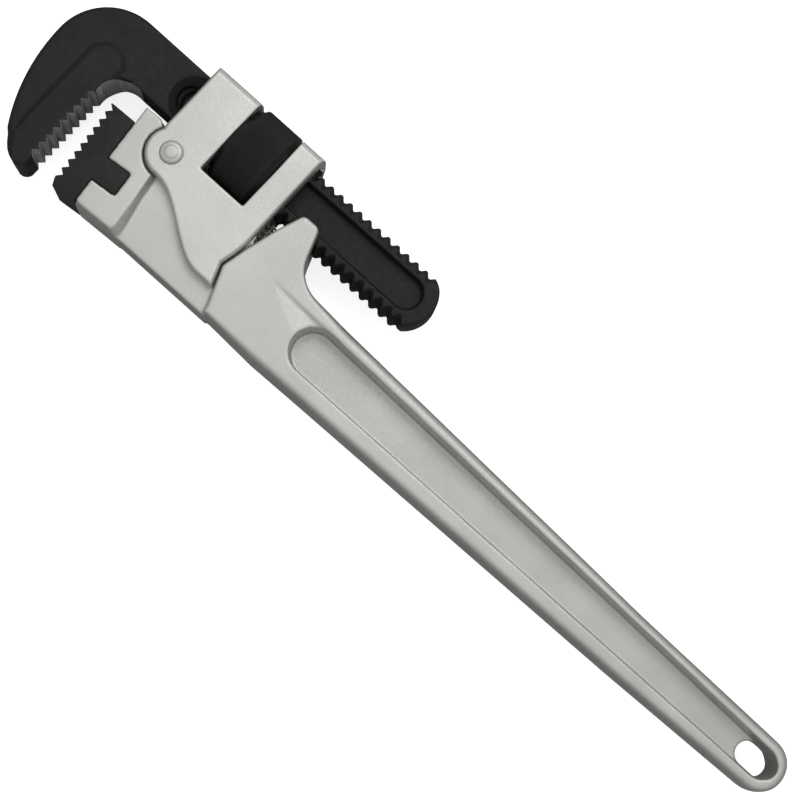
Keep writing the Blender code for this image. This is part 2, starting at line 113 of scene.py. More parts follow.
# Frame casting.
FRAME_INNER = 9.8
FRAME_BACK_Y = -39.6
WINDOW = (-34.6, -12.5, -3.1)

# Jaws.
HOOK_HALF = 9.5
SHANK_HALF = 8.0
THREAD_CREST = 13.1
THREAD_ROOT = 11.1
THREAD_FIRST_X = -110.95
THREAD_TURNS = 21
HOOK_TEETH = (39.4, 1.4)
HOOK_BACK_RADIUS = 82.0
THROAT_CENTRE = (28.8, -0.7)
THROAT_RADIUS = 10.6
JAW_TEETH = (30.9, 1.0)
JAW_TILT = math.radians(6.1)
JAW_DEPTHS = (11.7, 22.8)
JAW_TONGUE = (18.2, 28.5)
JAW_LENGTH = 39.8
TOOTH_COUNT = 10


# ---------------------------------------------------------------- sizes and colours a user may change

class WrenchSizes(bpy.types.PropertyGroup):
    thread_pitch: bpy.props.FloatProperty(
        name="Thread Pitch", description="Distance between the thread crests of the shank",
        default=5.0 * MM, min=2.0 * MM, max=8.0 * MM, unit="LENGTH")
    hook_tooth_pitch: bpy.props.FloatProperty(
        name="Hook Tooth Pitch", description="Distance between the teeth of the hook jaw",
        default=3.95 * MM, min=2.0 * MM, max=6.0 * MM, unit="LENGTH")
    jaw_tooth_pitch: bpy.props.FloatProperty(
        name="Lower Tooth Pitch", description="Distance between the teeth of the lower jaw",
        default=3.98 * MM, min=2.0 * MM, max=6.0 * MM, unit="LENGTH")
    tooth_depth: bpy.props.FloatProperty(
        name="Tooth Depth", description="Depth of the gullets between the teeth",
        default=2.05 * MM, min=0.5 * MM, max=3.0 * MM, unit="LENGTH")
    knurl_pitch: bpy.props.FloatProperty(
        name="Knurl Pitch", description="Distance between the knurl's diamonds round the nut",
        default=1.25 * MM, min=0.8 * MM, max=3.0 * MM, unit="LENGTH")
    knurl_height: bpy.props.FloatProperty(
        name="Knurl Height", description="Height of the knurl's diamonds",
        default=0.30 * MM, min=0.1 * MM, max=1.0 * MM, unit="LENGTH")
    coil_turns: bpy.props.FloatProperty(
        name="Coil Turns", description="Turns of the coil spring", default=7.0, min=3.0, max=12.0)
    wire: bpy.props.FloatProperty(
        name="Spring Wire", description="Thickness of the coil spring's wire",
        default=0.9 * MM, min=0.4 * MM, max=1.4 * MM, unit="LENGTH")


class WrenchColours(bpy.types.PropertyGroup):
    casting: bpy.props.FloatVectorProperty(
        name="Casting", description="Colour of the blasted aluminium", subtype="COLOR",
        default=(0.62, 0.615, 0.59), min=0.0, max=1.0)
    oxide: bpy.props.FloatVectorProperty(
        name="Black Oxide", description="Colour of the blackened steel", subtype="COLOR",
        default=(0.0165, 0.0168, 0.0158), min=0.0, max=1.0)
    flank: bpy.props.FloatVectorProperty(
        name="Tooth Flanks", description="Colour of the cut tooth flanks", subtype="COLOR",
        default=(0.52, 0.52, 0.50), min=0.0, max=1.0)
    # The springs use this colour darkened to 0.45, partly as painted shade.
    bright: bpy.props.FloatVectorProperty(
        name="Bright Steel", description="Colour of the rivet, pin and springs", subtype="COLOR",
        default=(0.60, 0.60, 0.58), min=0.0, max=1.0)


def sizes():
    return bpy.context.scene.wrench_sizes


def colours():
    return bpy.context.scene.wrench_colours


# ---------------------------------------------------------------- node trees

def add(tree, kind, inputs=None, **settings):
    """Adds a node, sets its options, and fills or links its inputs."""
    node = tree.nodes.new(kind)
    for key, value in settings.items():
        setattr(node, key, value)
    for key, value in (inputs or {}).items():
        if isinstance(value, bpy.types.NodeSocket):
            tree.links.new(value, node.inputs[key])
        else:
            node.inputs[key].default_value = value
    return node


def maths(tree, operation, first, second=0.0):
    return add(tree, "ShaderNodeMath", {0: first, 1: second}, operation=operation).outputs[0]


# ---------------------------------------------------------------- finishes

def new_finish(name):
    material = bpy.data.materials.new(name)
    material.use_nodes = True
    tree = material.node_tree
    shader = tree.nodes["Principled BSDF"]
    place = add(tree, "ShaderNodeTexCoord").outputs["Object"]
    return material, tree, shader, place


def noise(tree, place, scale, detail=4.0, roughness=0.6):
    settings = {"Vector": place, "Scale": scale, "Detail": detail, "Roughness": roughness}
    return add(tree, "ShaderNodeTexNoise", settings).outputs["Fac"]


def spread(tree, value, low, high, start=0.35, end=0.65):
    """Stretches the middle of a noise to a range of numbers."""
    inputs = {"Value": value, "From Min": start, "From Max": end, "To Min": low, "To Max": high}
    return add(tree, "ShaderNodeMapRange", inputs).outputs["Result"]


def tinted(tree, colour, share):
    """A colour made lighter or darker by a share that changes over the surface."""
    inputs = {0: tuple(colour), "Scale": share}
    return add(tree, "ShaderNodeVectorMath", inputs, operation="SCALE").outputs[0]


def bumped(tree, shader, heights):
    """Chains bumps of (height, distance in millimetres, strength) into the shader's normal."""
    normal = None
    for height, distance, strength in heights:
        inputs = {"Height": height, "Distance": distance * MM, "Strength": strength}
        if normal:
            inputs["Normal"] = normal
        normal = add(tree, "ShaderNodeBump", inputs).outputs["Normal"]
    tree.links.new(normal, shader.inputs["Normal"])


def blasted_aluminium(name, colour, roughness):
    """Shot-blasted casting: satin metal with a fine grain, cloudy patches, rubbed edges made lighter as
    wear, and painted shade that darkens its concave creases and hollows.
    """
    material, tree, shader, place = new_finish(name)
    shader.inputs["Metallic"].default_value = 0.86
    grain = noise(tree, place, 2600.0, 3.0, 0.7)
    speck = noise(tree, place, 1100.0, 2.0, 0.5)
    cloud = noise(tree, place, 38.0, 3.0, 0.55)
    edge = add(tree, "ShaderNodeNewGeometry").outputs["Pointiness"]
    share = maths(tree, "ADD", spread(tree, cloud, 0.95, 1.04), spread(tree, speck, -0.035, 0.035))
    share = maths(tree, "ADD", share, spread(tree, grain, -0.03, 0.03))
    # Pointiness lightens convex edges as rubbed wear and darkens concave creases and hollows as painted
    # shade.
    share = maths(tree, "ADD", share, spread(tree, edge, -0.05, 0.09, 0.46, 0.56))
    tree.links.new(tinted(tree, colour, share), shader.inputs["Base Color"])
    tree.links.new(spread(tree, speck, roughness - 0.05, roughness + 0.06), shader.inputs["Roughness"])
    bumped(tree, shader, [(speck, 0.10, 0.30), (grain, 0.05, 0.35)])
    return material


def black_oxide(name, colour, roughness):
    """Blackened forging: matt, lightly scaled skin, thinner and greyer on its edges."""
    material, tree, shader, place = new_finish(name)
    shader.inputs["Metallic"].default_value = 0.25
    shader.inputs["Specular IOR Level"].default_value = 0.32
    scale = noise(tree, place, 420.0, 5.0, 0.65)
    grain = noise(tree, place, 2300.0, 2.0, 0.6)
    cloud = noise(tree, place, 45.0, 3.0, 0.5)
    edge = add(tree, "ShaderNodeNewGeometry").outputs["Pointiness"]
    share = maths(tree, "ADD", spread(tree, cloud, 0.85, 1.15), spread(tree, grain, -0.12, 0.12))
    share = maths(tree, "ADD", share, spread(tree, edge, 0.0, 0.9, 0.515, 0.60))
    tree.links.new(tinted(tree, colour, share), shader.inputs["Base Color"])
    tree.links.new(spread(tree, scale, roughness - 0.07, roughness + 0.08), shader.inputs["Roughness"])
    bumped(tree, shader, [(scale, 0.12, 0.25), (grain, 0.04, 0.30)])
    return material


def cut_steel(name, colour, roughness, stretch, metallic=0.8):
    """Machined steel with fine tool marks across one direction."""
    material, tree, shader, place = new_finish(name)
    shader.inputs["Metallic"].default_value = metallic
    turned = add(tree, "ShaderNodeMapping", {"Vector": place, "Scale": stretch}).outputs["Vector"]
    marks = noise(tree, turned, 900.0, 3.0, 0.6)
    cloud = noise(tree, place, 120.0, 3.0, 0.5)
    share = maths(tree, "ADD", spread(tree, cloud, 0.85, 1.12), spread(tree, marks, -0.12, 0.12))
    tree.links.new(tinted(tree, colour, share), shader.inputs["Base Color"])
    tree.links.new(spread(tree, marks, roughness - 0.06, roughness + 0.08), shader.inputs["Roughness"])
    bumped(tree, shader, [(marks, 0.03, 0.3)])
    return material


def finish(name):
    """The shared material of that name, made the first time that a piece asks for it."""
    found = bpy.data.materials.get(name)
    if found:
        return found
    palette = colours()
    makers = {
        "blasted_handle": lambda: blasted_aluminium(name, palette.casting, 0.47),
        "blasted_frame": lambda: blasted_aluminium(name, [c * 1.02 for c in palette.casting], 0.42),
        "black_oxide": lambda: black_oxide(name, palette.oxide, 0.52),
        "black_nut": lambda: black_oxide(name, [c * 0.7 for c in palette.oxide], 0.5),
        "cut_flank": lambda: cut_steel(name, palette.flank, 0.45, (1.0, 1.0, 0.08), 0.25),
        "rivet_metal": lambda: blasted_aluminium(name, palette.bright, 0.44),
        "pin_steel": lambda: cut_steel(name, palette.bright, 0.38, (1.0, 1.0, 1.0)),
        # The springs' bright steel is darkened to 0.45 of its colour as painted shade for the coil spring,
        # which sits in shadow in its hole; the same darker steel also covers the leaf spring and its stud.
        "spring_steel": lambda: cut_steel(name, [c * 0.45 for c in palette.bright], 0.34, (1.0, 0.2, 1.0)),
    }
    return makers[name]()


# ---------------------------------------------------------------- outlines

def arc(centre, radius, start, end, steps=12):
    points = []
    for i in range(steps + 1):
        angle = math.radians(start + (end - start) * i / steps)
        points.append((centre[0] + radius * math.cos(angle), centre[1] + radius * math.sin(angle)))
    return points


def rounded(corners):
    """Closed outline through corners given as (x, y, fillet radius)."""
    points = []
    count = len(corners)
    for i in range(count):
        before, here, after = (Vector(corners[(i + k) % count][:2]) for k in (-1, 0, 1))
        radius = corners[i][2]
        first, second = (before - here).normalized(), (after - here).normalized()
        half = first.angle(second) / 2
        if radius <= 0 or half > math.radians(89):
            points.append(tuple(here))
            continue
        bisector = (first + second).normalized()
        centre = here + bisector * (radius / math.sin(half))
        start = here + first * (radius / math.tan(half)) - centre
        end = here + second * (radius / math.tan(half)) - centre
        turn = start.angle_signed(end)
        steps = max(2, int(abs(math.degrees(turn)) / 9))
        for k in range(steps + 1):
            spoke = Vector(start)
            spoke.rotate(Matrix.Rotation(-turn * k / steps, 2))
            points.append(tuple(centre + spoke))
    return points


def inset(outline, distance):
    """The outline moved in along its mean normals, by a distance or by a function of a point."""
    reach_in = distance if callable(distance) else lambda x, y: distance
    count = len(outline)
    area = sum(outline[i][0] * outline[(i + 1) % count][1] - outline[(i + 1) % count][0] * outline[i][1]
               for i in range(count))
    sign = 1.0 if area > 0 else -1.0
    moved = []
    for i in range(count):
        before, here, after = (Vector(outline[(i + k) % count]) for k in (-1, 0, 1))
        first, second = (here - before).normalized(), (after - here).normalized()
        normal = Vector((-first.y - second.y, first.x + second.x)).normalized() * sign
        square = max(0.4, Vector((-first.y, first.x)).dot(normal) * sign)
        moved.append(tuple(here + normal * reach_in(*here) / square))
    return moved


def stadium(first, second):
    """Slot outline between two (x, y, radius) ends."""
    return arc(first[:2], first[2], 90, 270, 24) + arc(second[:2], second[2], -90, 90, 24)


def quarter(radius, steps=5):
    """(inset, height) pairs of a rounded edge, from the flat face to the side wall."""
    pairs = []
    for i in range(steps + 1):
        angle = math.pi / 2 * i / steps
        pairs.append((radius * (1 - math.sin(angle)), radius * (1 - math.cos(angle))))
    return pairs


# ---------------------------------------------------------------- solids

def new_piece(name, work):
    """Turns a working mesh in millimetres into an object, placed in the frame and in metres."""
    bmesh.ops.recalc_face_normals(work, faces=work.faces)
    bmesh.ops.triangulate(work, faces=[face for face in work.faces if len(face.verts) > 4])
    bmesh.ops.translate(work, vec=PIN, verts=work.verts)
    bmesh.ops.scale(work, vec=Vector((MM, MM, MM)), verts=work.verts)
    mesh = bpy.data.meshes.new(name)
    work.to_mesh(mesh)
    work.free()
    piece = bpy.data.objects.new(name, mesh)
    bpy.context.scene.collection.objects.link(piece)
    return piece


def loft(name, rings):
    """Closed solid through rings of points, all with the same count."""
    work = bmesh.new()
    rows = [[work.verts.new(point) for point in ring] for ring in rings]
    for lower, upper in zip(rows, rows[1:]):
        for i in range(len(lower)):
            j = (i + 1) % len(lower)
            work.faces.new((lower[i], lower[j], upper[j], upper[i]))
    work.faces.new(rows[0])
    work.faces.new(rows[-1])
    return new_piece(name, work)


def block(name, outline, low, high, edge=0.0):
    """Upright solid from an outline, with both rims rounded when an edge radius is given."""
    if edge <= 0:
        return loft(name, [[(x, y, z) for x, y in outline] for z in (low, high)])
    rings = [[(x, y, low + up) for x, y in inset(outline, back)] for back, up in quarter(edge)]
    rings += [[(x, y, high - up) for x, y in inset(outline, back)] for back, up in reversed(quarter(edge))]
    return loft(name, rings)


def lathe(name, profile, steps, place=(0, 0, 0), turn=None):
    """Solid of revolution about local Z from (radius, height) points."""
    work = bmesh.new()
    verts = [work.verts.new((radius, 0, height)) for radius, height in profile]
    edges = [work.edges.new(pair) for pair in zip(verts, verts[1:])]
    bmesh.ops.spin(work, geom=verts + edges, cent=(0, 0, 0), axis=(0, 0, 1),
                   angle=math.tau, steps=steps, use_merge=True)
    bmesh.ops.remove_doubles(work, verts=work.verts, dist=1e-4)
    bmesh.ops.transform(work, matrix=Matrix.Translation(place) @ (turn or Matrix()), verts=work.verts)
    return new_piece(name, work)


def rod(name, radius, low, high, place=(0, 0, 0), turn=None, steps=40):
    return lathe(name, [(0, low), (radius, low), (radius, high), (0, high)], steps, place, turn)


ALONG_Y = Matrix.Rotation(-math.pi / 2, 4, "X")
ALONG_X = Matrix.Rotation(math.pi / 2, 4, "Y")


def settle(piece):
    """Turns the modifiers' result into the piece's own mesh and removes them."""
    result = bpy.data.meshes.new_from_object(piece.evaluated_get(bpy.context.evaluated_depsgraph_get()))
    piece.modifiers.clear()
    piece.data = result
    return piece


def combine(piece, other, operation, transfer=False):
    modifier = piece.modifiers.new("Combine", "BOOLEAN")
    modifier.operation = operation
    modifier.solver = "EXACT"
    modifier.object = other
    if transfer:
        modifier.material_mode = "TRANSFER"
    settle(piece)
    bpy.data.objects.remove(other, do_unlink=True)


def join(piece, *others):
    for other in others:
        combine(piece, other, "UNION")


def gather(piece, *others):
    """Adds closed shells to a piece as they are, for one skin over them all."""
    work = bmesh.new()
    for part in (piece, *others):
        work.from_mesh(part.data)
    work.to_mesh(piece.data)
    work.free()
    for other in others:
        bpy.data.objects.remove(other, do_unlink=True)


def cut(piece, *others):
    for other in others:
        combine(piece, other, "DIFFERENCE")


def skin(piece, cell, soften, most):
    """Gives joined solids one even skin with soft edges and fillets, and at most so many triangles."""
    coarse = 1.0
    remesh = piece.modifiers.new("Skin", "REMESH")
    remesh.mode = "VOXEL"
    remesh.voxel_size = cell * coarse * MM
    smooth = piece.modifiers.new("Soften", "SMOOTH")
    smooth.factor = 0.5
    smooth.iterations = soften
    settle(piece)
    triangles = len(piece.data.polygons) * 2
    if triangles > most:
        thin = piece.modifiers.new("Thin", "DECIMATE")
        thin.ratio = most / triangles
        settle(piece)
    return piece


def dress(piece, body, node, materials, sharp=180):
    """Shades a finished piece, gives it its finish, and puts it on its body in place of its node."""
    if materials:
        piece.data.materials.clear()
        for name in materials:
            piece.data.materials.append(finish(name))
    piece.data.shade_smooth()
    if sharp < 180:
        piece.data.set_sharp_from_angle(angle=math.radians(sharp))
    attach(piece, body)
    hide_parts(node)
    return piece


# ---------------------------------------------------------------- geometry node trees for what repeats

def new_tree(name, inputs):
    tree = bpy.data.node_groups.new(name, "GeometryNodeTree")
    tree.interface.new_socket("Geometry", in_out="INPUT", socket_type="NodeSocketGeometry")
    for label, kind in inputs:
        tree.interface.new_socket(label, in_out="INPUT", socket_type="NodeSocket" + kind)
    tree.interface.new_socket("Geometry", in_out="OUTPUT", socket_type="NodeSocketGeometry")
    return tree, add(tree, "NodeGroupInput").outputs


def end_tree(tree, geometry, material):
    real = add(tree, "GeometryNodeRealizeInstances", {"Geometry": geometry}).outputs[0]
    painted = add(tree, "GeometryNodeSetMaterial", {"Geometry": real, "Material": material}).outputs[0]
    add(tree, "NodeGroupOutput", {"Geometry": painted})


def run_tree(piece, tree, values):
    """Sets the tree's inputs on the piece by their identifiers and keeps the result as a plain mesh."""
    modifier = piece.modifiers.new(tree.name, "NODES")
    modifier.node_group = tree
    for item in tree.interface.items_tree:
        if item.item_type == "SOCKET" and item.in_out == "INPUT" and item.name in values:
            modifier[item.identifier] = values[item.name]
    return settle(piece)


def gullet_tree():
    """A row of four-sided bars, half sunk in a jaw face, that cut the gullets between its teeth."""
    tree, given = new_tree("Tooth Gullets", [
        ("Count", "Int"), ("Pitch", "Float"), ("Depth", "Float"), ("Width", "Float"), ("Length", "Float"),
        ("Start", "Vector"), ("Tilt", "Float"), ("Material", "Material")])
    step = add(tree, "ShaderNodeCombineXYZ", {"Y": given["Pitch"]}).outputs[0]
    line = add(tree, "GeometryNodeMeshLine", {"Count": given["Count"], "Offset": step}).outputs["Mesh"]
    bar = add(tree, "GeometryNodeMeshCylinder", {"Vertices": 4, "Radius": 1.0, "Depth": given["Length"]})
    half = maths(tree, "MULTIPLY", given["Width"], 0.5)
    size = add(tree, "ShaderNodeCombineXYZ", {"X": given["Depth"], "Y": half, "Z": 1.0}).outputs[0]
    cutter = add(tree, "GeometryNodeTransform", {"Geometry": bar.outputs["Mesh"], "Scale": size}).outputs[0]
    row = add(tree, "GeometryNodeInstanceOnPoints", {"Points": line, "Instance": cutter}).outputs[0]
    turn = add(tree, "ShaderNodeCombineXYZ", {"Z": given["Tilt"]}).outputs[0]
    placed = {"Geometry": row, "Translation": given["Start"], "Rotation": turn}
    end_tree(tree, add(tree, "GeometryNodeTransform", placed).outputs[0], given["Material"])
    return tree


def knurl_tree():
    """Rows of small diamonds round a shaft along X, each row half a diamond on from the last."""
    tree, given = new_tree("Diamond Knurl", [
        ("Around", "Int"), ("Rows", "Int"), ("Radius", "Float"), ("Length", "Float"), ("Height", "Float"),
        ("Centre", "Vector"), ("Material", "Material")])
    count = maths(tree, "MULTIPLY", given["Around"], given["Rows"])
    points = add(tree, "GeometryNodeMeshLine", {"Count": count}).outputs["Mesh"]
    index = add(tree, "GeometryNodeInputIndex").outputs[0]
    row = maths(tree, "FLOOR", maths(tree, "DIVIDE", index, given["Around"]))
    column = maths(tree, "SUBTRACT", index, maths(tree, "MULTIPLY", row, given["Around"]))
    shift = maths(tree, "MULTIPLY", maths(tree, "MODULO", row, 2.0), 0.5)
    share = maths(tree, "DIVIDE", maths(tree, "ADD", column, shift), given["Around"])
    angle = maths(tree, "MULTIPLY", share, math.tau)
    gaps = maths(tree, "SUBTRACT", given["Rows"], 1.0)
    along = maths(tree, "SUBTRACT", maths(tree, "DIVIDE", row, gaps), 0.5)
    inward = maths(tree, "MULTIPLY", given["Radius"], -1.0)
    across = maths(tree, "MULTIPLY", maths(tree, "SINE", angle), inward)
    upward = maths(tree, "MULTIPLY", maths(tree, "COSINE", angle), given["Radius"])
    spot = {"X": maths(tree, "MULTIPLY", along, given["Length"]), "Y": across, "Z": upward}
    spot = add(tree, "ShaderNodeCombineXYZ", spot).outputs[0]
    spot = add(tree, "ShaderNodeVectorMath", {0: spot, 1: given["Centre"]}, operation="ADD").outputs[0]
    laid = add(tree, "GeometryNodeSetPosition", {"Geometry": points, "Position": spot}).outputs[0]
    shape = {"Vertices": 4, "Radius Top": 0.12, "Radius Bottom": 1.0, "Depth": 1.0}
    diamond = add(tree, "GeometryNodeMeshCone", shape)
    girth = maths(tree, "MULTIPLY", given["Radius"], math.pi)
    wide = maths(tree, "DIVIDE", girth, given["Around"])
    long = maths(tree, "DIVIDE", given["Length"], gaps)
    size = add(tree, "ShaderNodeCombineXYZ", {"X": long, "Y": wide, "Z": given["Height"]}).outputs[0]
    sized = {"Geometry": diamond.outputs["Mesh"], "Scale": size}
    unit = add(tree, "GeometryNodeTransform", sized).outputs[0]
    lean = add(tree, "ShaderNodeCombineXYZ", {"X": angle}).outputs[0]
    planted = {"Points": laid, "Instance": unit, "Rotation": lean}
    rows = add(tree, "GeometryNodeInstanceOnPoints", planted).outputs[0]
    both = add(tree, "GeometryNodeJoinGeometry")
    tree.links.new(given["Geometry"], both.inputs[0])
    tree.links.new(rows, both.inputs[0])
    end_tree(tree, both.outputs[0], given["Material"])
    return tree


def coil_tree():
    """Round wire wound along Y between two places, as a closed tube."""
    tree, given = new_tree("Wound Wire", [
        ("Turns", "Float"), ("Radius", "Float"), ("Wire", "Float"), ("Start", "Vector"),
        ("Length", "Float"), ("Material", "Material")])
    count = maths(tree, "MULTIPLY", given["Turns"], 28.0)
    line = add(tree, "GeometryNodeCurvePrimitiveLine").outputs["Curve"]
    line = add(tree, "GeometryNodeResampleCurve", {"Curve": line, "Count": count}).outputs[0]
    share = add(tree, "GeometryNodeSplineParameter").outputs["Factor"]
    angle = maths(tree, "MULTIPLY", share, maths(tree, "MULTIPLY", given["Turns"], math.tau))
    spot = {"X": maths(tree, "MULTIPLY", maths(tree, "COSINE", angle), given["Radius"]),
            "Y": maths(tree, "MULTIPLY", share, given["Length"]),
            "Z": maths(tree, "MULTIPLY", maths(tree, "SINE", angle), given["Radius"])}
    spot = add(tree, "ShaderNodeCombineXYZ", spot).outputs[0]
    spot = add(tree, "ShaderNodeVectorMath", {0: spot, 1: given["Start"]}, operation="ADD").outputs[0]
    wound = add(tree, "GeometryNodeSetPosition", {"Geometry": line, "Position": spot}).outputs[0]
    half = maths(tree, "MULTIPLY", given["Wire"], 0.5)
    ring = add(tree, "GeometryNodeCurvePrimitiveCircle", {"Resolution": 12, "Radius": half}).outputs["Curve"]
    tube = add(tree, "GeometryNodeCurveToMesh", {"Curve": wound, "Profile Curve": ring, "Fill Caps": True})
    end_tree(tree, tube.outputs[0], given["Material"])
    return tree


def cut_gullets(piece, pitch, start, tilt, length):
    """Cuts a row of gullets, with bright flanks, into a jaw."""
    size = sizes()
    cutter = bpy.data.objects.new("gullets", bpy.data.meshes.new("gullets"))
    bpy.context.scene.collection.objects.link(cutter)
    side = Vector((-math.sin(tilt), math.cos(tilt), 0))
    first = (PIN + Vector((*start, 0)) + side * (pitch / MM / 2)) * MM
    run_tree(cutter, gullet_tree(), {
        "Count": TOOTH_COUNT - 1, "Pitch": pitch, "Depth": size.tooth_depth, "Width": pitch * 0.95,
        "Length": length * MM, "Start": first, "Tilt": tilt, "Material": finish("cut_flank")})
    combine(piece, cutter, "DIFFERENCE", transfer=True)


# ---------------------------------------------------------------- handle

def grip_half(x):
    """Half thickness of the grip, which gets thinner towards the tail."""
    return NECK_HALF + (TAIL_HALF - NECK_HALF) * max(0.0, (x + 60.0) / (TAIL_X + 60.0))


def grip_outline():
    """The shoulder against the frame, the horn, the grip and its round tail."""
    outline = rounded([
        (-50.5, 38.9, 1.2), (-50.5, 35.3, 1.0), (-43.9, 19.0, 1.0), (-46.2, 8.5, 6.0), (-50.1, -6.0, 30.0),
        (-54.2, -17.4, 2.8), (-62.6, -17.4, 3.0), (-70.2, 3.7, 14.0), (-97.0, 4.4, 0.0)])
    outline += [(-137.0, 5.7), (-177.0, 7.1), (-217.0, 8.4), (-256.0, 9.8)]
    outline += arc(TAIL_CENTRE, TAIL_RADIUS, 270, 90, 40)
    outline += [(-260.0, 35.6), (-220.0, 36.3), (-180.0, 37.0)]
    outline += [(-140.0, 37.7), (-100.0, 38.4), (-76.0, 38.9)]
    return outline


def edge_share(x, y):
    """How much of the round edge a place has: all along the back, less on the open side and the horn."""
    if y > 30.0:
        return OPEN_SIDE_EDGE * min(1.0, max(0.45, (-x - 47.0) / 12.0))
    if x < TAIL_CENTRE[0]:
        return 1.0 - (1.0 - OPEN_SIDE_EDGE) * max(0.0, (y - 20.0) / 10.0)
    return min(1.0, max(0.32, (-x - 66.0) / 26.0))


def grip_solid():
    outline = grip_outline()
    rings = []
    for side in (-1, 1):
        ring = []
        for back, up in quarter(GRIP_EDGE, 9):
            moved = inset(outline, lambda x, y: (GRIP_DRAFT + back) * edge_share(x, y))
            shares = [edge_share(x, y) for x, y in outline]
            heights = [grip_half(x) - up * share for (x, y), share in zip(outline, shares)]
            ring.append([(x, y, side * z) for (x, y), z in zip(moved, heights)])
        ring.append([(x, y, side * grip_half(x) * 0.2) for x, y in outline])
        rings += ring if side < 0 else ring[::-1]
    return loft("handle_casting", rings)


def pocket_cutter(side):
    """Long recess in one face of the grip, with a filleted floor and a rolled lip."""
    floor_fillet, lip, draft = 0.9, 0.6, 0.4
    rings = []

    def ring(grow, height):
        ends = [(x, y, radius + grow) for x, y, radius in (POCKET_END, POCKET_START)]
        rings.append([(x, y, side * height(x)) for x, y in stadium(*ends)])

    for back, up in quarter(floor_fillet, 6):
        ring(-draft - back, lambda x, up=up: WEB_HALF + up)
    for back, up in reversed(quarter(lip, 6)):
        ring(back, lambda x, up=up: grip_half(x) - up)
    ring(lip, lambda x: grip_half(x) + 3.0)
    return loft("pocket", rings)


def core_solid():
    """The flat tongue between the frame's side plates."""
    outline = [(-52.0, 38.3), (-52.0, 8.0), (-46.6, 6.0), (-46.2, 1.0), (-13.0, 1.0)]
    outline += arc((0, 0), 8.6, 180, 300, 24)
    outline += [(12.2, -7.2), (14.0, -7.2), (14.0, 38.5)]
    return block("core", outline, -CORE_HALF, CORE_HALF)


def holder_solid():
    """The thick block that holds the lower jaw, hollowed round the ear of the frame."""
    start = [(19.8, -7.2), (12.2, -7.6)]
    face = start + arc((0, 0), 11.3, -30, 88, 24)
    face += [(-0.8, 18.4), (-2.9, 36.0), (-2.2, 37.8), (13.0, 38.6), (17.4, 37.0)]
    foot = start + arc((0, 0), 11.3, -30, 100, 24)
    foot += [(-3.0, 18.0), (-7.3, 36.4), (-6.6, 38.8), (13.6, 39.8), (18.2, 38.4)]
    levels = [(face, -HOLDER_HALF), (foot, -CORE_HALF + 0.8), (foot, CORE_HALF - 0.8), (face, HOLDER_HALF)]
    return loft("holder", [[(x, y, z) for x, y in points] for points, z in levels])


def ramp_cutter(side):
    """Shallow run-out of the recess in the neck, deepest along its sloping upper wall."""
    face = NECK_HALF + 0.1
    floor = [(-57.0, 9.8, face), (-93.0, 12.0, NECK_HALF - 1.4), (-93.0, 30.0, face)]
    rim = [(-56.0, 8.6, face + 0.05), (-93.0, 9.2, face + 0.05), (-93.0, 30.3, face + 0.05)]
    high = [(x, y, face + 2.0) for x, y, z in rim]
    return loft("ramp", [[(x, y, side * z) for x, y, z in ring] for ring in (floor, rim, high)])


def jaw_point(across, along):
    """A point of the lower jaw: depth behind its tooth tips, and distance down from the first tip."""
    out = Vector((math.cos(JAW_TILT), math.sin(JAW_TILT)))
    side = Vector((-math.sin(JAW_TILT), math.cos(JAW_TILT)))
    return tuple(Vector(JAW_TEETH) - out * across + side * along)


def jaw_back(gap, top, bottom):
    """Back of the lower jaw: a bar with a square tongue, larger by a gap."""
    bar, tongue = JAW_DEPTHS[0] + gap, JAW_DEPTHS[1] + gap
    low, high = JAW_TONGUE[1] + gap, JAW_TONGUE[0] - gap
    return [jaw_point(bar, bottom), jaw_point(bar, low), jaw_point(tongue, low),
            jaw_point(tongue, high), jaw_point(bar, high), jaw_point(bar, top)]


def jaw_seat():
    outline = [jaw_point(-20, -20), jaw_point(-20, 60)] + jaw_back(0.25, -20, 60)
    return block("seat", outline, -30, 30)


class WRENCH_OT_handle(bpy.types.Operator):
    """Cast handle with its recessed grip, horn, jaw holder and hanging hole"""
    bl_idname = "wrench.handle"
    bl_label = "Handle"

    def execute(self, context):
        handle = grip_solid()
        join(handle, core_solid(), holder_solid())
        slot = [(-46.3, -30), (-100, -30), (-100, 2.4), (-46.3, 2.4)]
        cut(handle, block("slot", slot, -HORN_SLOT_HALF, HORN_SLOT_HALF))
        cut(handle, jaw_seat())
        cut(handle, rod("pin_hole", 1.75, 23.4, 60, (10.6, 0, 0), ALONG_Y, 24))
        cut(handle, rod("pivot_hole", 4.25, -20, 20))
        for side in (1, -1):
            cut(handle, pocket_cutter(side), ramp_cutter(side))
        flat = (HOLE_SIZE[0] - HOLE_SIZE[1]) / 2
        ends = [(HOLE_CENTRE[0] + shift, HOLE_CENTRE[1], HOLE_SIZE[1] / 2) for shift in (-flat, flat)]
        cut(handle, block("hole", stadium(*ends), -20, 20))
        spring_x = middle("coil_spring").x - PIN.x
        cut(handle, rod("spring_hole", 3.3, -3.0, 12.0, (spring_x, 0, 0), ALONG_Y))
        skin(handle, 0.5, 5, 175000)
        dress(handle, "handle_body", "handle", ["blasted_handle"])
        return {"FINISHED"}


# ---------------------------------------------------------------- frame

def frame_outline(back_y, edge):
    """Both side plates from the back top corner round the ear to the tip and back, moved in by an edge."""
    points = [(9.3, back_y - edge), (9.3, -7.4)]
    points += arc((0, 0), 10.4, -32, 90, 32)
    start, end, ear, tip = -1.0, -39.0, 10.4, 28.4
    for i in range(1, 31):
        t = i / 30
        points.append((start + (end - start) * t, ear + (tip - ear) * t * t * (3 - 2 * t)))
    points += [(-46.9, 28.4), (-43.4, 18.8), (-44.9, 12.7), (-45.6, 7.4), (-45.6, back_y - edge)]
    return inset(points, edge)


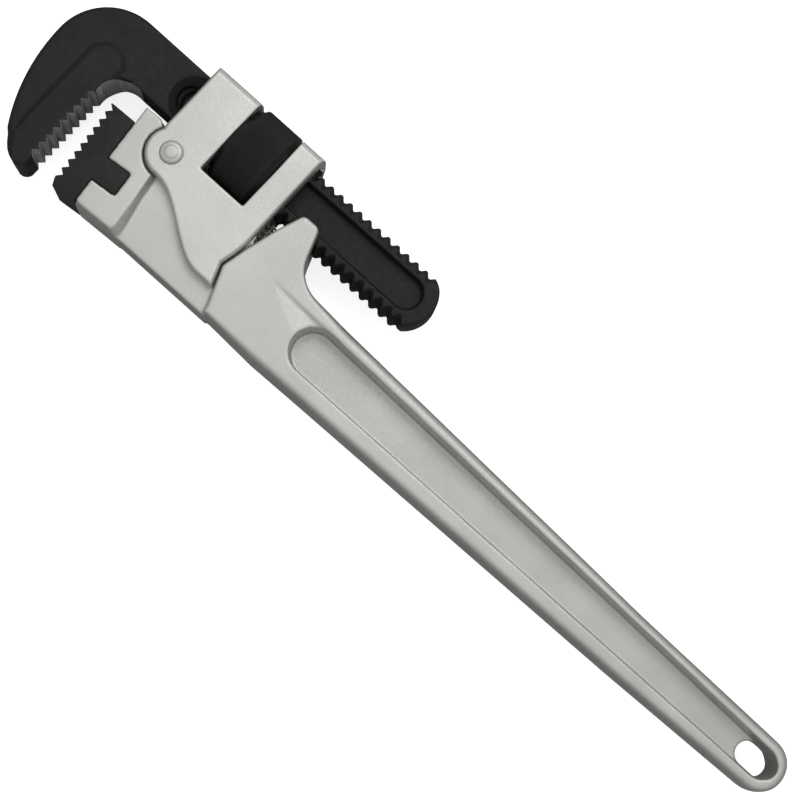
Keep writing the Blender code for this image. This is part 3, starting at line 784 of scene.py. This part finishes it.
class WRENCH_OT_frame(bpy.types.Operator):
    """Cast frame: two side plates and a back wall round the shank, with the nut's window"""
    bl_idname = "wrench.frame"
    bl_label = "Frame"

    def execute(self, context):
        levels = [(frame_outline(FRAME_BACK_Y, 0.0), 0.45)]
        levels += [(frame_outline(FRAME_BACK_Y + 1.3, 0.0), 0.93)]
        levels += [(frame_outline(FRAME_BACK_Y + 1.9, 0.25), 0.955)]
        levels += [(frame_outline(FRAME_BACK_Y + 3.4, 0.8), 1.0)]
        rings = [[(x, y, -share * FRAME_HALF) for x, y in points] for points, share in reversed(levels)]
        rings += [[(x, y, share * FRAME_HALF) for x, y in points] for points, share in levels]
        casting = loft("frame_casting", rings)
        core = [(40, -10.1), (-60, -10.1), (-60, 60), (40, 60)]
        cut(casting, block("core_space", core, -FRAME_INNER, FRAME_INNER))
        channel = [(40, SHANK_Y - 13.5), (-60, SHANK_Y - 13.5), (-60, 0), (40, 0)]
        cut(casting, block("channel", channel, -8.4, 8.4))
        left, right, base = WINDOW
        cut(casting, block("window", [(left, -60), (right, -60), (right, base), (left, base)], -20, 20))
        for side in (1, -1):
            top = side * (FRAME_HALF + 0.6)
            low = side * (FRAME_HALF - 1.0)
            rings = [[(right - 1, y, top), (right + 1.6, y, top), (right - 1, y, low)] for y in (-60, base)]
            cut(casting, loft("window_edge", rings))
        recess = [(left + 5, -37.2), (-60, -37.2), (-60, SHANK_Y), (left + 5, SHANK_Y)]
        cut(casting, block("leaf_recess", recess, -5.3, 5.3))
        cut(casting, rod("pin_hole", 4.2, -20, 20))
        stud_x = middle("leaf_spring_stud").x - PIN.x
        cut(casting, rod("stud_hole", 1.75, FRAME_BACK_Y - 3, -35.2, (stud_x, 0, 0), ALONG_Y, 24))
        skin(casting, 0.4, 2, 165000)
        dress(casting, "frame_body", "frame", ["blasted_frame"])
        return {"FINISHED"}


class WRENCH_OT_rivet(bpy.types.Operator):
    """Rivet that the frame turns on, with a low stepped dome at each end"""
    bl_idname = "wrench.rivet"
    bl_label = "Frame Rivet"

    def execute(self, context):
        half = FRAME_HALF
        head = [(4.7, 0.0), (4.72, 0.35), (4.45, 0.75), (4.0, 1.05), (3.4, 1.2), (3.0, 1.22),
                (2.75, 1.32), (2.4, 1.5), (1.8, 1.58), (0.9, 1.6), (0, 1.6)]
        upper = [(4.0, half), (4.3, half)] + [(radius, half + 0.02 + up) for radius, up in head]
        lower = [(radius, -height) for radius, height in reversed(upper)]
        rivet = lathe("frame_rivet", lower + upper, 72)
        dress(rivet, "handle_body", "frame_pin", ["rivet_metal"], 50)
        return {"FINISHED"}


# ---------------------------------------------------------------- jaws

def shank_solid():
    """Flat bar with a helical thread on its two narrow edges, and a smooth stretch up to the hook."""
    pitch = sizes().thread_pitch / MM
    columns, per_turn = 12, 10
    work = bmesh.new()
    sides = []
    for side in (1, -1):
        grid = []
        for j in range(columns + 1):
            z = SHANK_HALF * (1 - 2 * j / columns)
            lean = math.asin(z / THREAD_CREST) / math.tau * side
            flip = 0.0 if side > 0 else 0.5
            root = SHANK_Y + side * math.sqrt(THREAD_ROOT ** 2 - z ** 2)
            smooth = -22.6 + side * 11.3
            line = [(SHANK_END_X - 1, root, z)]
            for i in range(THREAD_TURNS * per_turn + 1):
                phase = abs((i / per_turn + 0.5) % 1.0 - 0.5) * 2
                height = min(1.0, max(0.0, (1 - phase) * 1.45 - 0.16))
                radius = THREAD_ROOT + (THREAD_CREST - THREAD_ROOT) * height
                x = THREAD_FIRST_X + pitch * (i / per_turn + lean + flip)
                line.append((x, SHANK_Y + side * math.sqrt(radius ** 2 - z ** 2), z))
            line.append((line[-1][0] + pitch / 2, smooth, z))
            line.append((38.0, smooth, z))
            grid.append([work.verts.new(point) for point in line])
        for row, following in zip(grid, grid[1:]):
            for i in range(len(row) - 1):
                work.faces.new((row[i], row[i + 1], following[i + 1], following[i]))
        sides.append(grid)
    near, far = sides
    work.faces.new(near[0] + far[0][::-1])
    work.faces.new(near[-1] + far[-1][::-1])
    for end in (0, -1):
        work.faces.new([line[end] for line in near] + [line[end] for line in far][::-1])
    shank = new_piece("shank", work)
    limit = THREAD_CREST + 0.5
    keep = arc((SHANK_END_X + limit, SHANK_Y), limit, 90, 270, 48)
    keep += [(60, SHANK_Y - limit), (60, SHANK_Y + limit)]
    combine(shank, block("limits", keep, -SHANK_HALF, SHANK_HALF, 0.9), "INTERSECT")
    return shank


def hook_outline(end_x):
    """The curved hook from the shank round to its tip, starting at a place along the shank."""
    outline = [(end_x, -34.0)]
    outline += arc((43.0, -9.0), 25.0, -90, 0, 28)
    outline += arc((HOOK_X - HOOK_BACK_RADIUS, -9.0), HOOK_BACK_RADIUS, 2, 32, 16)
    outline += [(53.3, 36.6), (51.5, 39.0), (49.6, 40.9), (47.4, 42.3), (44.9, 43.1), (43.0, 42.8)]
    outline += [(42.2, 41.0), (42.0, 3.0)]
    outline += arc(THROAT_CENTRE, THROAT_RADIUS, -8, -80, 10)
    outline += [(end_x, -11.3)]
    return outline


def hook_solid():
    """Forged hook with round edges, fading down to the thinner shank."""
    levels = [(end_x, back, up) for end_x, back, up in (
        (40.0, 1.9, 0.0), (37.0, 1.1, 0.35), (33.0, 0.5, 0.9), (28.0, 0.15, 1.6), (23.0, 0.0, 2.6))]
    rings = []
    for end_x, back, up in levels:
        rings.append([(x, y, -HOOK_HALF + up) for x, y in inset(hook_outline(end_x), back)])
    for end_x, back, up in reversed(levels):
        rings.append([(x, y, HOOK_HALF - up) for x, y in inset(hook_outline(end_x), back)])
    return loft("hook_forging", rings)


def pad_solid():
    """The wider toothed pad of the hook, with sloping sides that fade out towards the tip."""
    front = HOOK_TEETH[0]
    outline = [(51.6, 34.4), (51.8, 26.0), (51.8, 14.0), (51.8, 2.0)]
    outline += arc((44.9, -9.4), 6.9, 0, -165, 24)
    outline += arc(THROAT_CENTRE, THROAT_RADIUS, -22, 0, 6)
    outline += [(front, 1.4), (front, 37.6)]
    outline += [(front, 40.8), (40.2, 42.2), (41.6, 43.2), (43.4, 43.5)]
    outline += [(45.4, 42.7), (48.0, 40.0), (50.0, 37.2)]

    def slope(amount):
        def outwards(x, y):
            if x < front + 3.0 and y > -4.0:
                return 0.0
            return -amount * min(1.0, max(0.0, (36.0 - y) / 12.0))
        return inset(outline, outwards)

    levels = [(slope(3.2), HOOK_HALF - 1.6), (slope(1.2), HOOK_HALF + 0.4), (outline, PAD_HALF - 0.3),
              (inset(outline, 0.7), PAD_HALF)]
    rings = [[(x, y, -z) for x, y in points] for points, z in reversed(levels)]
    rings += [[(x, y, z) for x, y in points] for points, z in levels]
    return loft("pad", rings)


def groove_cutter(side):
    """Long recess in one face of the shank, with steep walls."""
    ends = ((-103.4, SHANK_Y), (10.0, SHANK_Y))
    rings = []
    for radius, z in ((5.2, 3.2), (6.3, 3.6), (6.8, 5.2), (7.1, SHANK_HALF), (7.5, SHANK_HALF + 1.0)):
        points = stadium((*ends[0], radius), (*ends[1], min(radius, 6.2)))
        rings.append([(x, y, side * z) for x, y in points])
    return loft("groove", rings)


def groove_end_cutter(side):
    """Wide sloping bevel at the hook end of the recess."""
    top = SHANK_HALF + 1.0
    profile = [(0, 1.2), (4.9, 1.2), (5.7, 1.9), (6.8, 4.6)]
    profile += [(10.9, SHANK_HALF - 0.1), (11.2, top), (0, top)]
    turn = Matrix() if side > 0 else Matrix.Rotation(math.pi, 4, "X")
    return lathe("groove_end", profile, 48, (8.2, SHANK_Y, 0), turn)


class WRENCH_OT_hook_jaw(bpy.types.Operator):
    """Forged hook jaw: threaded shank, hook and toothed pad"""
    bl_idname = "wrench.hook_jaw"
    bl_label = "Hook Jaw"

    def execute(self, context):
        shank = shank_solid()
        for side in (1, -1):
            cut(shank, groove_cutter(side), groove_end_cutter(side))
        hook = hook_solid()
        gather(hook, pad_solid(), shank)
        skin(hook, 0.45, 3, 150000)
        hook.data.materials.clear()
        hook.data.materials.append(finish("black_oxide"))
        reach_out = THROAT_RADIUS + 0.15
        throat = rod("throat", reach_out, -14.0, 14.0, (*THROAT_CENTRE, 0.0), steps=72)
        throat.data.materials.append(finish("cut_flank"))
        combine(hook, throat, "DIFFERENCE", transfer=True)
        cut_gullets(hook, sizes().hook_tooth_pitch, HOOK_TEETH, 0.0, 30.0)
        dress(hook, "hook_body", "hook_jaw", [], 40)
        return {"FINISHED"}


class WRENCH_OT_lower_jaw(bpy.types.Operator):
    """Lower jaw: a toothed steel bar with a square tongue, and the pin that holds it"""
    bl_idname = "wrench.lower_jaw"
    bl_label = "Lower Jaw"

    def execute(self, context):
        outline = [jaw_point(0.0, -0.4), jaw_point(0.0, JAW_LENGTH - 3.4), jaw_point(1.3, JAW_LENGTH)]
        outline += [jaw_point(JAW_DEPTHS[0], JAW_LENGTH)] + jaw_back(0.0, 0.4, JAW_LENGTH - 1.0)[1:]
        jaw = block("lower_jaw_steel", outline, -JAW_HALF, JAW_HALF)
        cut(jaw, rod("pin_hole", 1.75, 23.4, 60, (10.6, 0, 0), ALONG_Y, 24))
        bevel = jaw.modifiers.new("Edges", "BEVEL")
        bevel.width = 0.55 * MM
        bevel.segments = 3
        bevel.limit_method = "ANGLE"
        bevel.angle_limit = math.radians(40)
        settle(jaw)
        jaw.data.materials.clear()
        jaw.data.materials.append(finish("black_oxide"))
        cut_gullets(jaw, sizes().jaw_tooth_pitch, JAW_TEETH, JAW_TILT, 40.0)
        dress(jaw, "handle_body", "lower_jaw", [], 30)
        profile = [(0, 23.7), (1.2, 23.7), (1.5, 24.0), (1.5, 39.2), (1.35, 39.45), (0.9, 39.5)]
        profile += [(0.8, 39.0), (0, 39.0)]
        pin = lathe("lower_jaw_rollpin", profile, 32, (10.6, 0, 0), ALONG_Y)
        dress(pin, "handle_body", "lower_jaw_pin", ["pin_steel"], 40)
        return {"FINISHED"}


class WRENCH_OT_nut(bpy.types.Operator):
    """Round nut with a diamond knurl, bevelled ends and an internal thread"""
    bl_idname = "wrench.nut"
    bl_label = "Round Nut"

    def execute(self, context):
        size = sizes()
        low, high = reach("round_nut", 0)
        height = size.knurl_height / MM
        body = NUT_RADIUS - height
        bevel, mouth = 2.3, 0.9
        profile = [(NUT_BORE + mouth, low), (body - bevel, low), (body - 0.3, low + bevel - 0.1),
                   (body, low + bevel + 0.2), (body, high - bevel - 0.2), (body - 0.3, high - bevel + 0.1),
                   (body - bevel, high), (NUT_BORE + mouth, high)]
        pitch = size.thread_pitch / MM
        turns = int((high - low - 2 * mouth) / pitch * 2)
        for i in range(turns + 1):
            x = high - mouth - (high - low - 2 * mouth) * i / turns
            profile.append((NUT_BORE if i % 2 == 0 else NUT_GROOVE, x))
        profile.append(profile[0])
        nut = lathe("knurled_nut", profile, 96, (0, SHANK_Y, 0), ALONG_X)
        around = round(math.tau * body / (size.knurl_pitch / MM))
        length = high - low - 2 * bevel - 1.4
        rows = round(length / 1.05)
        run_tree(nut, knurl_tree(), {
            "Around": around, "Rows": rows, "Radius": (body - 0.02) * MM, "Length": length * MM,
            "Height": size.knurl_height, "Centre": (PIN + Vector(((low + high) / 2, SHANK_Y, 0))) * MM,
            "Material": finish("black_nut")})
        dress(nut, "nut_body", "round_nut", [], 30)
        return {"FINISHED"}


class WRENCH_OT_springs(bpy.types.Operator):
    """Coil spring under the shank, and the leaf spring with its stud in the frame's back wall"""
    bl_idname = "wrench.springs"
    bl_label = "Springs"

    def execute(self, context):
        size = sizes()
        low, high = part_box("coil_spring")
        coil = bpy.data.objects.new("spring_coil", bpy.data.meshes.new("spring_coil"))
        context.scene.collection.objects.link(coil)
        half = size.wire / 2
        run_tree(coil, coil_tree(), {
            "Turns": size.coil_turns, "Radius": (high.z - low.z) / 2 - half, "Wire": size.wire,
            "Start": ((low.x + high.x) / 2, low.y + half, (low.z + high.z) / 2),
            "Length": high.y - low.y - size.wire, "Material": finish("spring_steel")})
        dress(coil, "handle_body", "coil_spring", [])
        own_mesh(coil)
        left, right = reach("leaf_spring", 0)
        steps = 24
        outer = []
        for i in range(steps + 1):
            t = i / steps
            outer.append((left + (right - left) * t, -36.9 + 0.35 * math.sin(math.pi * t)))
        inner = [(x, y + 0.8) for x, y in reversed(outer)]
        leaf = block("spring_leaf", outer + inner, -5.0, 5.0)
        bevel = leaf.modifiers.new("Edges", "BEVEL")
        bevel.width = 0.15 * MM
        bevel.segments = 2
        bevel.limit_method = "ANGLE"
        bevel.angle_limit = math.radians(40)
        settle(leaf)
        dress(leaf, "frame_body", "leaf_spring", ["spring_steel"], 40)
        stud_x = middle("leaf_spring_stud").x - PIN.x
        profile = [(0, -39.2), (0.9, -39.15), (1.35, -38.95), (1.6, -38.5), (1.6, -36.9), (0, -36.9)]
        stud = lathe("leaf_stud", profile, 32, (stud_x, 0, 0), ALONG_Y)
        dress(stud, "frame_body", "leaf_spring_stud", ["spring_steel"], 50)
        return {"FINISHED"}


# ---------------------------------------------------------------- stage

def area_light(name, place, target, size, power, colour=(1.0, 1.0, 1.0)):
    data = bpy.data.lights.new(name, "AREA")
    data.shape = "RECTANGLE"
    data.size, data.size_y = size
    data.energy = power
    data.color = colour
    light = bpy.data.objects.new(name, data)
    light.location = place
    light.rotation_euler = (Vector(target) - Vector(place)).to_track_quat("-Z", "Y").to_euler()
    bpy.context.scene.collection.objects.link(light)


def pale_floor(tree):
    """White floor to the eye that throws little light back up on the wrench's dark sides."""
    shader = tree.nodes["Principled BSDF"]
    seen = add(tree, "ShaderNodeLightPath").outputs["Is Camera Ray"]
    greys = {"Value": seen, "To Min": 0.32, "To Max": 0.92}
    colour = add(tree, "ShaderNodeMapRange", greys).outputs["Result"]
    tree.links.new(colour, shader.inputs["Base Color"])
    glow = maths(tree, "MULTIPLY", seen, 0.77)
    shader.inputs["Emission Color"].default_value = (1.0, 1.0, 1.0, 1.0)
    tree.links.new(glow, shader.inputs["Emission Strength"])
    shader.inputs["Roughness"].default_value = 0.9
    shader.inputs["Specular IOR Level"].default_value = 0.1


def studio_world():
    """Large soft light overhead, leaning to one side, that falls off towards the horizon."""
    world = bpy.data.worlds.new("studio")
    world.use_nodes = True
    tree = world.node_tree
    place = add(tree, "ShaderNodeTexCoord").outputs["Generated"]
    upward = {0: place, 1: (0.0, -0.25, 1.0)}
    lean = add(tree, "ShaderNodeVectorMath", upward, operation="DOT_PRODUCT").outputs["Value"]
    ranges = {"Value": lean, "From Min": 0.1, "From Max": 1.0, "To Min": 0.3, "To Max": 0.70}
    glow = add(tree, "ShaderNodeMapRange", ranges, interpolation_type="SMOOTHSTEP").outputs["Result"]
    tree.links.new(glow, tree.nodes["Background"].inputs["Strength"])
    tree.nodes["Background"].inputs["Color"].default_value = (1.0, 1.0, 1.0, 1.0)
    return world


class WRENCH_OT_stage(bpy.types.Operator):
    """Pale floor, soft studio light and the camera"""
    bl_idname = "wrench.stage"
    bl_label = "Stage"

    def execute(self, context):
        scene = context.scene
        work = bmesh.new()
        bmesh.ops.create_grid(work, x_segments=1, y_segments=1, size=4.0)
        mesh = bpy.data.meshes.new("floor")
        work.to_mesh(mesh)
        work.free()
        floor = bpy.data.objects.new("floor", mesh)
        scene.collection.objects.link(floor)
        material = bpy.data.materials.new("pale_floor")
        material.use_nodes = True
        pale_floor(material.node_tree)
        mesh.materials.append(material)

        scene.world = studio_world()
        scene.view_settings.view_transform = "Standard"
        area_light("key", (0.17, -0.58, 1.2), (0.0, 0.0, 0.0), (0.9, 0.7), 2.5)

        camera = bpy.data.objects.new("camera", bpy.data.cameras.new("camera"))
        camera.data.lens = 90.0
        camera.data.sensor_width = 36.0
        right = Vector((-0.7426, -0.6671, 0.0594))
        up = Vector((0.6686, -0.7332, 0.1238))
        back = Vector((-0.0390, 0.1317, 0.9905))
        turn = Matrix((right, up, back)).transposed().to_quaternion().to_matrix()
        place = (PIN + Vector((-160.3, 113.3, 776.9))) * MM
        camera.matrix_world = Matrix.Translation(place) @ turn.to_4x4()
        scene.collection.objects.link(camera)
        scene.camera = camera
        return {"FINISHED"}


class WRENCH_PT_panel(bpy.types.Panel):
    """Sidebar panel that lists the wrench's pieces, sizes and colours"""
    bl_idname = "WRENCH_PT_panel"
    bl_label = "Pipe Wrench"
    bl_space_type = "VIEW_3D"
    bl_region_type = "UI"
    bl_category = "Pipe Wrench"

    def draw(self, context):
        for name in OPERATORS:
            self.layout.operator("wrench." + name)
        for group in (context.scene.wrench_sizes, context.scene.wrench_colours):
            box = self.layout.box()
            for key in group.__annotations__:
                box.prop(group, key)


OPERATORS = ("stage", "handle", "frame", "rivet", "hook_jaw", "lower_jaw", "nut", "springs")
CLASSES = (
    WrenchSizes, WrenchColours, WRENCH_OT_handle, WRENCH_OT_frame, WRENCH_OT_rivet, WRENCH_OT_hook_jaw,
    WRENCH_OT_lower_jaw, WRENCH_OT_nut, WRENCH_OT_springs, WRENCH_OT_stage, WRENCH_PT_panel)


def register():
    for cls in CLASSES:
        bpy.utils.register_class(cls)
    bpy.types.Scene.wrench_sizes = bpy.props.PointerProperty(type=WrenchSizes)
    bpy.types.Scene.wrench_colours = bpy.props.PointerProperty(type=WrenchColours)


def unregister():
    del bpy.types.Scene.wrench_colours
    del bpy.types.Scene.wrench_sizes
    for cls in reversed(CLASSES):
        bpy.utils.unregister_class(cls)


def main():
    register()
    for name in OPERATORS:
        getattr(bpy.ops.wrench, name)()


if __name__ == "__main__":
    main()
